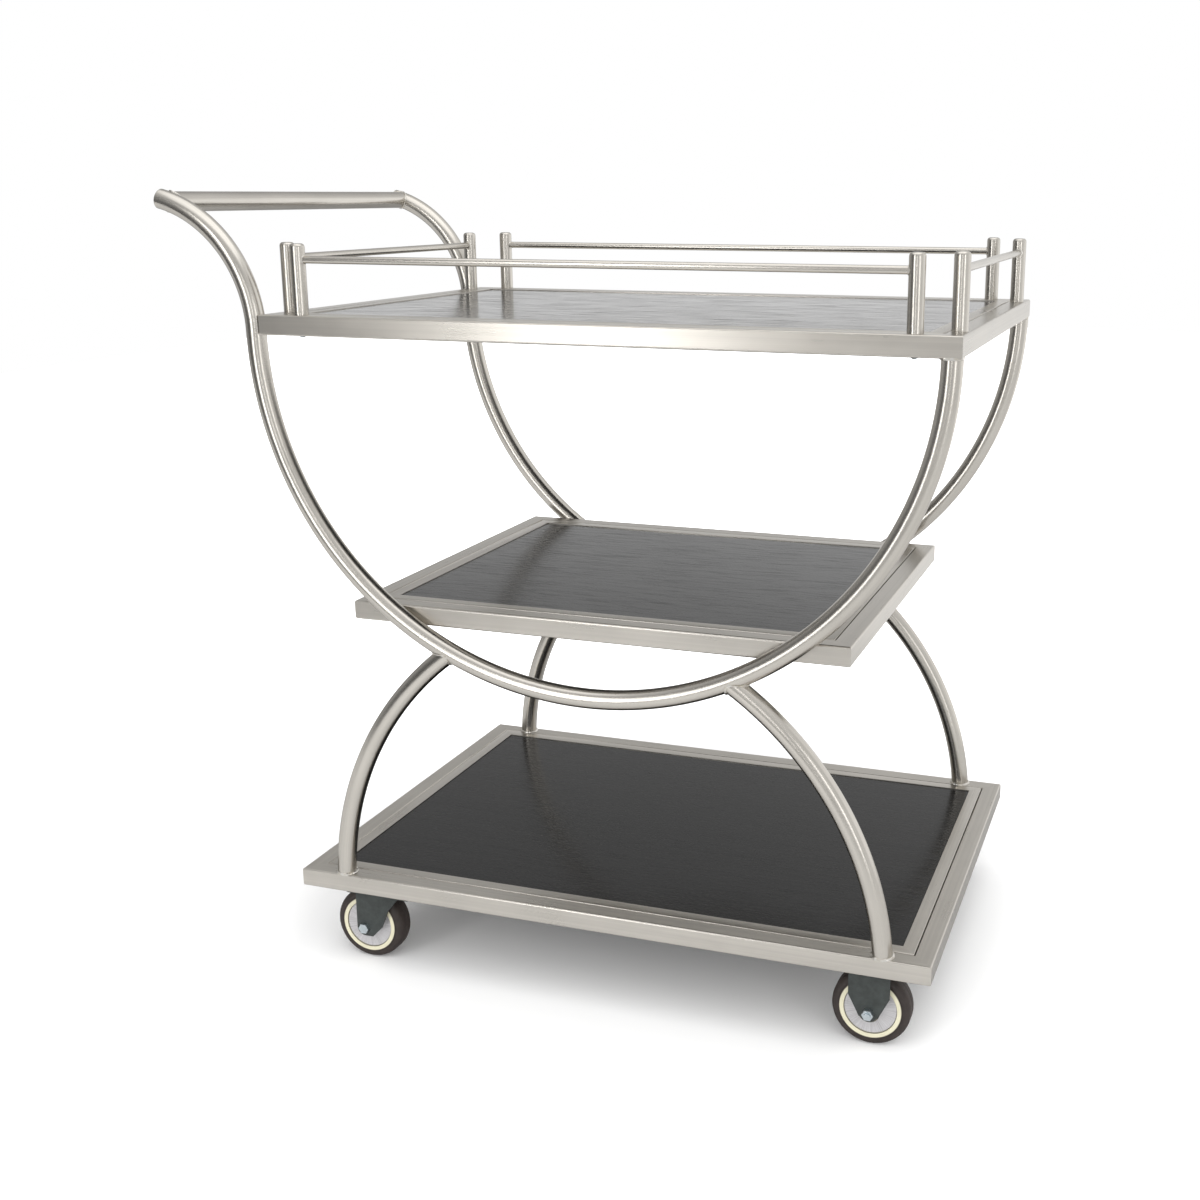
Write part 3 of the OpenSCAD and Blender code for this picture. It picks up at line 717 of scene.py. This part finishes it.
class BARCART_OT_stage(bpy.types.Operator):
    """Add the pale floor, the soft lamps and the white surroundings"""

    bl_idname = "bar_cart.stage"
    bl_label = "Floor and lamps"

    def execute(self, context):
        stage = context.scene.bar_cart_stage
        self.add_floor(context, stage)
        self.add_surroundings(context, stage)
        self.add_lamp(context, "overhead_lamp", stage.overhead_power,
                      spot=(0.1, -0.3, 2.9), aim=(0.05, 0.0, 0.5), size=(2.8, 2.2))
        self.add_lamp(context, "strip_lamp", stage.strip_power,
                      spot=(-1.10, -3.10, 1.20), aim=(0.08, -0.3, 0.7), size=(0.56, 2.3))
        self.add_lamp(context, "thin_lamp", stage.thin_power,
                      spot=(0.75, -3.4, 1.3), aim=(0.1, -0.3, 0.7), size=(0.26, 1.8))
        self.add_lamp(context, "side_lamp", stage.side_power,
                      spot=(2.6, -2.4, 0.95), aim=(0.0, -0.2, 0.6), size=(0.5, 1.8))
        context.scene.view_settings.view_transform = "Standard"
        return {"FINISHED"}

    def add_floor(self, context, stage):
        """A wide floor that lies mostly behind the cart."""
        size, shift = 6, 4.3
        bm = bmesh.new()
        bmesh.ops.create_grid(bm, x_segments=1, y_segments=1, size=size)
        bmesh.ops.translate(bm, vec=(0, shift, 0), verts=bm.verts[:])
        mesh = bpy.data.meshes.new("floor")
        bm.to_mesh(mesh)
        bm.free()
        floor = bpy.data.objects.new("floor", mesh)
        context.scene.collection.objects.link(floor)
        mesh.materials.append(floor_white(stage))

    def add_surroundings(self, context, stage):
        """White to the eye, a shaded room for the steel to mirror, and the even light."""
        world = bpy.data.worlds.new("white_room")
        context.scene.world = world
        board = Board(world)
        spot = board.add("ShaderNodeTexCoord", {}, {}, "Generated")
        east, north, rise = board.split(spot)
        glossy = board.ray("Glossy")

        # The mirrored room: lighter low down, to the rear, to the right and overhead, dark in
        # front of the cart, with a bright backdrop low behind it
        low = 1 - rise.between(0.22, 0.42)
        rear = north.between(0.0, 0.4)
        room = (0.59 + low * 0.10 + rear * 0.08 + east * (0.20 + rear * 0.22)
                + rise.between(0.5, 0.95) * 0.18)
        front = (0 - north).between(-0.2, 0.6) * (1 - rise.between(0.3, 0.7))
        west = (0 - east).between(0.38, 0.58)
        crest = rise - east.between(-0.32, -0.10) * 0.10
        backdrop = north.between(0.5, 0.85) * (1 - crest.between(0.13, 0.28))
        seen = (room - front * (0.14 + west * 0.32)
                + backdrop * (1.08 - room + east.between(0.0, 0.12) * 0.15))

        white = board.add("ShaderNodeBackground", {},
                          {"Color": WHITE, "Strength": 1 - glossy * (1 - seen)})
        lamp_side = (east * 0.22 - north * 0.50 + rise * 0.83).between(0, 1)
        fill = board.add("ShaderNodeBackground", {},
                         {"Color": WHITE,
                          "Strength": stage.fill + lamp_side * lamp_side * stage.sky})
        board.end(board.add("ShaderNodeMixShader", {}, {0: seen_ray(board), 1: fill, 2: white}),
                  "ShaderNodeOutputWorld")

    def add_lamp(self, context, name, power, spot, aim, size):
        """A rectangular lamp that shines from a spot towards its aim."""
        data = bpy.data.lights.new(name, "AREA")
        data.shape = "RECTANGLE"
        data.size, data.size_y = size
        data.energy = power
        lamp = bpy.data.objects.new(name, data)
        context.scene.collection.objects.link(lamp)
        away = Vector(spot) - Vector(aim)
        lamp.matrix_world = (Matrix.Translation(spot)
                             @ away.to_track_quat("Z", "Y").to_matrix().to_4x4())


def seen_ray(board):
    """1 where a ray comes from the camera, a reflection or glass."""
    camera, glossy, through = (board.ray(kind) for kind in ("Camera", "Glossy", "Transmission"))
    return (camera + glossy + through).math("MINIMUM", 1.0)


def floor_white(stage):
    """White floor to the eye, and to the steel a grey, dark one that glows with painted light in
    places.
    """
    material, board = new_material("floor_white")
    x, y, _ = board.place()

    # To the eye: lit by the lamps under and near the cart, and pure white further away
    away = ((x * x * 1.4 + y * y).math("SQRT")).between(0.55, 1.3)
    plain = board.add("ShaderNodeBsdfDiffuse", {}, {"Color": shade(stage.floor)})
    grey = board.add("ShaderNodeBsdfDiffuse", {}, {"Color": shade(stage.floor, 0.74)})
    dark = board.add("ShaderNodeBsdfDiffuse", {}, {"Color": shade(stage.floor, 0.40)})
    glow = board.add("ShaderNodeEmission", {}, {"Color": WHITE,
                                                "Strength": stage.floor_glow + away})
    lifted = board.add("ShaderNodeAddShader", {}, {0: plain, 1: glow})
    shown = board.add("ShaderNodeMixShader", {}, {0: seen_ray(board), 1: plain, 2: lifted})

    # To the steel: grey, and dark behind the cart, with painted light glowing at the far end, at
    # the back right and in a painted pool of light along the line that runs to the strip lamp's
    # foot
    back = y.between(0.8, 1.5)
    right = x.between(0.25, 0.7) * back
    line_x, line_y, lean = -0.62, -1.96, 0.434
    drift = x - line_x - (y - line_y) * lean
    out = (0 - y).between(0.3, 0.8) * 0.45 + (0 - y).between(1.1, 1.7) * 0.55
    painted_light_pool = (1 - abs(drift).between(0.15, 0.75)) * out
    bright = (y.between(3.2, 5.0) + right + painted_light_pool * 0.8).math("MINIMUM", 1.0)
    behind = board.add("ShaderNodeMixShader", {}, {0: back, 1: grey, 2: dark})
    # Painted glow: emission on the floor that only reflections in the steel see
    painted_glow = board.add("ShaderNodeEmission", {}, {"Color": WHITE,
                                               "Strength": 1 + right * 0.35 + painted_light_pool * 0.6})
    mirrored = board.add("ShaderNodeMixShader", {}, {0: bright, 1: behind, 2: painted_glow})
    glossy = board.ray("Glossy")
    board.end(board.add("ShaderNodeMixShader", {}, {0: glossy, 1: shown, 2: mirrored}))
    return material


class BARCART_OT_frames(bpy.types.Operator):
    """Brush the shelf frames along each tube, and roll the outer edges of their bezels"""

    bl_idname = "bar_cart.frames"
    bl_label = "Shelf frames"

    def execute(self, context):
        colours = context.scene.bar_cart_colours
        flat = colours.flat_roughness
        run_x = brushed_steel("flat_lengthwise", along_x, colours, flat)
        run_y = brushed_steel("flat_crosswise", along_y, colours, flat)
        for shelf in SHELVES:
            for side in SIDES:
                dress(f"{shelf}_{side}_tube", run_x)
            for side in ("left", "right"):
                dress(f"{shelf}_{side}_tube", run_y)
            strips = brushed_steel(f"{shelf}_bezel_strips", round_strips(f"{shelf}_bezel"),
                                   colours, flat)
            self.add_bezel(shelf, context.scene.bar_cart_shape.bezel_edge_r, strips)
        dress("shelf_cross_bars", run_y)
        dress("caster_gussets", run_x)
        return {"FINISHED"}

    def add_bezel(self, shelf, radius, material):
        """A bezel whose outer top edge is rolled over, so that it catches the light."""
        low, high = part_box(f"{shelf}_bezel")

        def outer_top(edge):
            ends = [vert.co for vert in edge.verts]
            sides = ((0, low.x), (0, high.x), (1, low.y), (1, high.y))
            return (all(abs(end.z - high.z) < NEAR for end in ends)
                    and any(all(abs(end[axis] - side) < NEAR for end in ends)
                            for axis, side in sides))

        bm = bevelled_copy(f"{shelf}_bezel", radius, outer_top, segments=4)
        piece = finish_piece(bm, f"{shelf}_rolled_bezel", material)
        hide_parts(f"{shelf}_bezel")


class BARCART_OT_hoops(bpy.types.Operator):
    """Bend the two hoops with the bends up to the handle, and brush the handle"""

    bl_idname = "bar_cart.hoops"
    bl_label = "Hoops and handle"

    def execute(self, context):
        colours, shape = context.scene.bar_cart_colours, context.scene.bar_cart_shape
        hoop, handle, _ = bends()
        brushed = brushed_steel("brushed_hoops", along_hoop(hoop, handle), colours,
                                colours.tube_roughness)
        rise = hoop[0][1] - SHELF_UNDER + GAP
        dip = math.asin(rise / hoop[1])
        for side, plane_y in PLANES:
            bm = bmesh.new()
            ring = start_ring(bm, plane_y, *hoop, -dip)
            ring = sweep_ring(bm, ring, plane_y, hoop[0], dip - math.pi, HOOP_STEPS)
            sweep_ring(bm, ring, plane_y, handle[0], shape.handle_end_angle, HANDLE_STEPS)
            close_tube(bm)
            piece = finish_piece(bm, f"{side}_bent_hoop", brushed)
            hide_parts(f"{side}_hoop")
        run_y = brushed_steel("brushed_crosswise", along_y, colours, colours.tube_roughness)
        dress("handle_bar", run_y)
        dress("handle_plugs", run_y)
        return {"FINISHED"}


class BARCART_OT_legs(bpy.types.Operator):
    """Bend the four legs between the hoops and the bottom shelf"""

    bl_idname = "bar_cart.legs"
    bl_label = "Legs"

    def execute(self, context):
        colours, shape = context.scene.bar_cart_colours, context.scene.bar_cart_shape
        _, _, legs = bends()
        for end, word in ENDS:
            leg = legs[end]
            brushed = brushed_steel(f"brushed_{word}_legs", round_bend(leg["centre"], shape.leg_r),
                                    colours, colours.tube_roughness)
            centre = Vector(leg["centre"])
            first, last = (math.atan2(spot.y - centre.y, spot.x - centre.x)
                           for spot in (leg["foot"], leg["head"]))
            sweep = (last - first + math.pi) % (2 * math.pi) - math.pi
            overrun = math.copysign(2 * TUBE_R / shape.leg_r, sweep)

            # The heads aren't coped: each ends on the hoop's centre line, inside the hoop
            for side, plane_y in PLANES:
                bm = bmesh.new()
                ring = start_ring(bm, plane_y, leg["centre"], shape.leg_r, first - overrun)
                sweep_ring(bm, ring, plane_y, leg["centre"], sweep + overrun, LEG_STEPS)
                bmesh.ops.bisect_plane(bm, geom=bm.verts[:] + bm.edges[:] + bm.faces[:],
                                       plane_co=(0, 0, FOOT_Z + GAP), plane_no=(0, 0, -1),
                                       clear_outer=True)
                close_tube(bm)
                piece = finish_piece(bm, f"{side}_{word}_bent_leg", brushed)
                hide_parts(f"{side}_{word}_leg")
        return {"FINISHED"}


class BARCART_OT_gallery(bpy.types.Operator):
    """Turn the gallery posts with their rounded tops, and brush the rails"""

    bl_idname = "bar_cart.gallery"
    bl_label = "Gallery"

    def execute(self, context):
        colours, shape = context.scene.bar_cart_colours, context.scene.bar_cart_shape
        run_x = brushed_steel("brushed_lengthwise", along_x, colours, colours.tube_roughness)
        run_y = brushed_steel("brushed_across", along_y, colours, colours.tube_roughness)
        run_z = brushed_steel("brushed_upright", along_z, colours, colours.tube_roughness)
        for side in ("front", "right", "back", "left"):
            dress(f"{side}_rail", run_x if side in SIDES else run_y)
            low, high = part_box(f"{side}_rail_posts")
            bm = bmesh.new()
            for corner in (low, high):
                spot = Vector((max(low.x + POST_R, min(high.x - POST_R, corner.x)),
                               max(low.y + POST_R, min(high.y - POST_R, corner.y)), 0))
                self.turn_post(bm, spot, low.z, high.z, shape.post_top_r)
            piece = finish_piece(bm, f"{side}_turned_posts", run_z)
            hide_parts(f"{side}_rail_posts")
        return {"FINISHED"}

    def turn_post(self, bm, spot, low, high, top_r):
        """Spins half a post's outline about its axis, as a solid with no screw hole."""
        outline = [(0, low), (POST_R, low), (POST_R, high - top_r)]
        outline += [(POST_R - top_r + top_r * math.cos(a), high - top_r + top_r * math.sin(a))
                    for a in (math.radians(d) for d in range(10, 91, 10))]
        outline += [(0, high)]
        post = bmesh.new()
        spin_outline(post, [(r, 0, z) for r, z in outline], (0, 0, 1), ROUND_STEPS, spot,
                     closed=False)
        add_to(bm, post)


class BARCART_OT_welds(bpy.types.Operator):
    """Lay the weld beads where tubes meet"""

    bl_idname = "bar_cart.welds"
    bl_label = "Welds"

    # Shares of the weld bead's radius: how far a bead stands out, and how thick a finer one is
    on_flat, on_round = 0.2, 0.1
    fine, finest = 0.8, 0.7

    def execute(self, context):
        shape = context.scene.bar_cart_shape
        material = weld_steel(context.scene.bar_cart_colours)
        hoop, handle, legs = bends()
        self.leg_welds(shape, material, hoop, legs)
        self.handle_welds(shape, material, handle)
        self.hoop_welds(shape, material, hoop)
        self.rail_welds(shape, material)
        return {"FINISHED"}

    def clip(self, bm):
        """Grinds the beads flush with the outer faces of the shelves."""
        for vert in bm.verts:
            vert.co.y = max(-OUTER_Y, min(OUTER_Y, vert.co.y))
            vert.co.x = min(RIGHT_X, vert.co.x)

    def leg_welds(self, shape, material, hoop, legs):
        """Beads at the feet and the heads of the legs."""
        bm = bmesh.new()
        for end, _ in ENDS:
            leg = legs[end]
            for _, plane_y in PLANES:
                foot = (leg["foot"].x, plane_y, FOOT_Z)
                bead_ring(bm, foot, (0, 0, 1), TUBE_R + shape.weld_r * self.on_flat,
                          shape.weld_r)
                centre = Vector(leg["centre"])
                out = leg["head"] - centre
                down = Vector((out.y, 0, -out.x)).normalized()
                if down.z > 0:
                    down = -down
                head = Vector((leg["head"].x, plane_y, leg["head"].y))
                bead_ring(bm, head, down, TUBE_R + shape.weld_r * self.on_round,
                          shape.weld_r * self.fine, onto_bend(*hoop, plane_y, TUBE_R, down))
        self.clip(bm)
        finish_piece(bm, "leg_welds", material)

    def handle_welds(self, shape, material, handle):
        """Beads where the handle bar meets the hoops."""
        bm = bmesh.new()
        angle = shape.handle_bar_angle
        x = handle[0][0] + handle[1] * math.cos(angle)
        z = handle[0][1] + handle[1] * math.sin(angle)
        for sign in (-1, 1):
            inward = Vector((0, -sign, 0))
            bead_ring(bm, (x, sign * HOOP_Y, z), inward, TUBE_R + shape.weld_r * self.on_round,
                      shape.weld_r * self.finest,
                      onto_bend(*handle, sign * HOOP_Y, TUBE_R, inward))
        finish_piece(bm, "handle_welds", material)

    def hoop_welds(self, shape, material, hoop):
        """Beads at the hoops' ends under the top shelf."""
        bm = bmesh.new()
        for _, plane_y in PLANES:
            top = (hoop[0][0] + hoop[1], plane_y, SHELF_UNDER)
            bead_ring(bm, top, (0, 0, -1), TUBE_R + shape.weld_r * self.on_flat,
                      shape.weld_r * self.fine)
        self.clip(bm)
        finish_piece(bm, "hoop_welds", material)

    def rail_welds(self, shape, material):
        """Beads where the gallery rails meet their posts."""
        ripples, steps = 14, 32
        bm = bmesh.new()
        for side in ("front", "back", "left", "right"):
            rail, posts = middle(f"{side}_rail"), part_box(f"{side}_rail_posts")
            along = 0 if side in SIDES else 1
            for sign, edge in ((-1, posts[0][along] + POST_R), (1, posts[1][along] - POST_R)):
                spot, inward = list(rail), Vector()
                spot[along], inward[along] = edge, -sign
                bead_ring(bm, spot, inward, RAIL_R, shape.rail_weld_r,
                          onto_post(spot[0], spot[1], inward), ripples, steps)
        finish_piece(bm, "rail_welds", material)


class BARCART_OT_panels(bpy.types.Operator):
    """Lay the wood-grain laminate on the three shelf panels"""

    bl_idname = "bar_cart.panels"
    bl_label = "Shelf panels"

    def execute(self, context):
        laminate = wood_laminate(context.scene.bar_cart_colours)
        for shelf in SHELVES:
            dress(f"{shelf}_panel", laminate)
        return {"FINISHED"}


class BARCART_OT_casters(bpy.types.Operator):
    """Paint the caster forks and plates and plate their fasteners"""

    bl_idname = "bar_cart.casters"
    bl_label = "Casters and bolts"

    def execute(self, context):
        colours = context.scene.bar_cart_colours
        paint, zinc = caster_paint(colours), zinc_plate(colours)
        for side in SIDES:
            for node in (f"{side}_swivel_plate", f"{side}_swivel_fork", f"{side}_rigid_fork"):
                dress(node, paint)
            dress(f"{side}_swivel_axle", zinc)
        for node in ("rigid_axles", "swivel_balls", "caster_bolts", "post_screws"):
            dress(node, zinc)
        return {"FINISHED"}


class BARCART_OT_wheels(bpy.types.Operator):
    """Turn the tyres and the ribbed covers, and finish the moulded rims"""

    bl_idname = "bar_cart.wheels"
    bl_label = "Wheels"

    def execute(self, context):
        colours = context.scene.bar_cart_colours
        shape = context.scene.bar_cart_shape
        for caster in CASTERS:
            centre = middle(f"{caster}_tyre")
            dress(f"{caster}_core", moulded_rim(
                f"{caster}_rim", centre, span(f"{caster}_covers").z / 2,
                span(f"{caster}_core").z / 2, colours))
            self.add_tyre(caster, centre, tyre_rubber(f"{caster}_rubber", centre, colours))
            self.add_covers(caster, centre, shape,
                            ribbed_cover(f"{caster}_disc", centre, colours))
        return {"FINISHED"}

    def add_tyre(self, caster, centre, material):
        """A tyre with round shoulders and a fine groove round the middle of its tread."""
        shoulder, groove = 0.009, 0.0004
        half = TYRE_W / 2
        bore = span(f"{caster}_core").z / 2 + 0.00005
        side = WHEEL_R - shoulder
        left = [(bore, -half + 0.0008), (bore + 0.0012, -half), (side - 0.0008, -half),
                (side - 0.0002, -half + 0.0005)]
        left += [(side + shoulder * math.sin(a), -half + shoulder - shoulder * math.cos(a))
                 for a in (math.radians(d) for d in range(12, 91, 13))]
        left += [(WHEEL_R, -0.0011), (WHEEL_R - groove, -0.0006)]
        outline = left + [(r, -y) for r, y in reversed(left)]
        bm = bmesh.new()
        spin_outline(bm, [(r, y, 0) for r, y in outline], (0, 1, 0), TYRE_STEPS, centre)
        tyre = finish_piece(bm, f"{caster}_tyre_rubber", material, f"{caster}_wheel")
        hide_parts(f"{caster}_tyre")

    def add_covers(self, caster, centre, shape, material):
        """The two pressed discs of a wheel, ribbed between a raised hub ring and outer ring."""
        low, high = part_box(f"{caster}_covers")
        inner, step, plain = 0.0144, 0.0002, 0.0025
        outer = (high.x - low.x) / 2
        face = (high.y - low.y) / 2 - step
        back, sunk, raised = face - 0.0008, face - step, face + step
        outline = [(inner, back), (inner, face), (inner + 0.0018, raised),
                   (inner + 0.0030, sunk), (outer - 0.0032, sunk), (outer - 0.0020, raised),
                   (outer - 0.0006, raised), (outer, face - 0.0003), (outer, back)]
        bm = bmesh.new()
        for sign in (-1, 1):
            disc = bmesh.new()
            spin_outline(disc, [(r, sign * y, 0) for r, y in outline], (0, 1, 0),
                         shape.rib_count * RIB_STEPS, (0, 0, 0))
            for vert in disc.verts:
                reach = math.hypot(vert.co.x, vert.co.z)
                if inner + plain < reach < outer - plain and abs(vert.co.y) > face - 0.0005:
                    turn = math.atan2(vert.co.z, vert.co.x) * shape.rib_count
                    vert.co.y -= sign * shape.rib_depth * (0.5 - 0.5 * math.cos(turn))
            add_to(bm, disc)
        bmesh.ops.translate(bm, vec=centre, verts=bm.verts[:])
        covers = finish_piece(bm, f"{caster}_ribbed_covers", material, f"{caster}_wheel")
        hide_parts(f"{caster}_covers")


class BARCART_PT_panel(bpy.types.Panel):
    """Lists the cart's pieces and settings"""

    bl_idname = "BARCART_PT_panel"
    bl_label = "Bar Cart"
    bl_space_type = "VIEW_3D"
    bl_region_type = "UI"
    bl_category = "Bar Cart"

    def draw(self, context):
        for operator in OPERATORS:
            self.layout.operator(operator.bl_idname)
        for group in (context.scene.bar_cart_shape, context.scene.bar_cart_colours,
                      context.scene.bar_cart_stage):
            box = self.layout.box()
            for name in group.__annotations__:
                box.prop(group, name)


GROUPS = {"bar_cart_shape": BarCartShape, "bar_cart_colours": BarCartColours,
          "bar_cart_stage": BarCartStage}
OPERATORS = (BARCART_OT_camera, BARCART_OT_stage, BARCART_OT_frames, BARCART_OT_panels,
             BARCART_OT_hoops, BARCART_OT_legs, BARCART_OT_gallery, BARCART_OT_welds,
             BARCART_OT_casters, BARCART_OT_wheels)


def register():
    for cls in (*GROUPS.values(), *OPERATORS, BARCART_PT_panel):
        bpy.utils.register_class(cls)
    for name, group in GROUPS.items():
        setattr(bpy.types.Scene, name, bpy.props.PointerProperty(type=group))


def unregister():
    for name in GROUPS:
        delattr(bpy.types.Scene, name)
    for cls in reversed((*GROUPS.values(), *OPERATORS, BARCART_PT_panel)):
        bpy.utils.unregister_class(cls)


def main():
    register()
    bpy.ops.bar_cart.camera()
    bpy.ops.bar_cart.stage()
    bpy.ops.bar_cart.frames()
    bpy.ops.bar_cart.panels()
    bpy.ops.bar_cart.hoops()
    bpy.ops.bar_cart.legs()
    bpy.ops.bar_cart.gallery()
    bpy.ops.bar_cart.welds()
    bpy.ops.bar_cart.casters()
    bpy.ops.bar_cart.wheels()


if __name__ == "__main__":
    main()
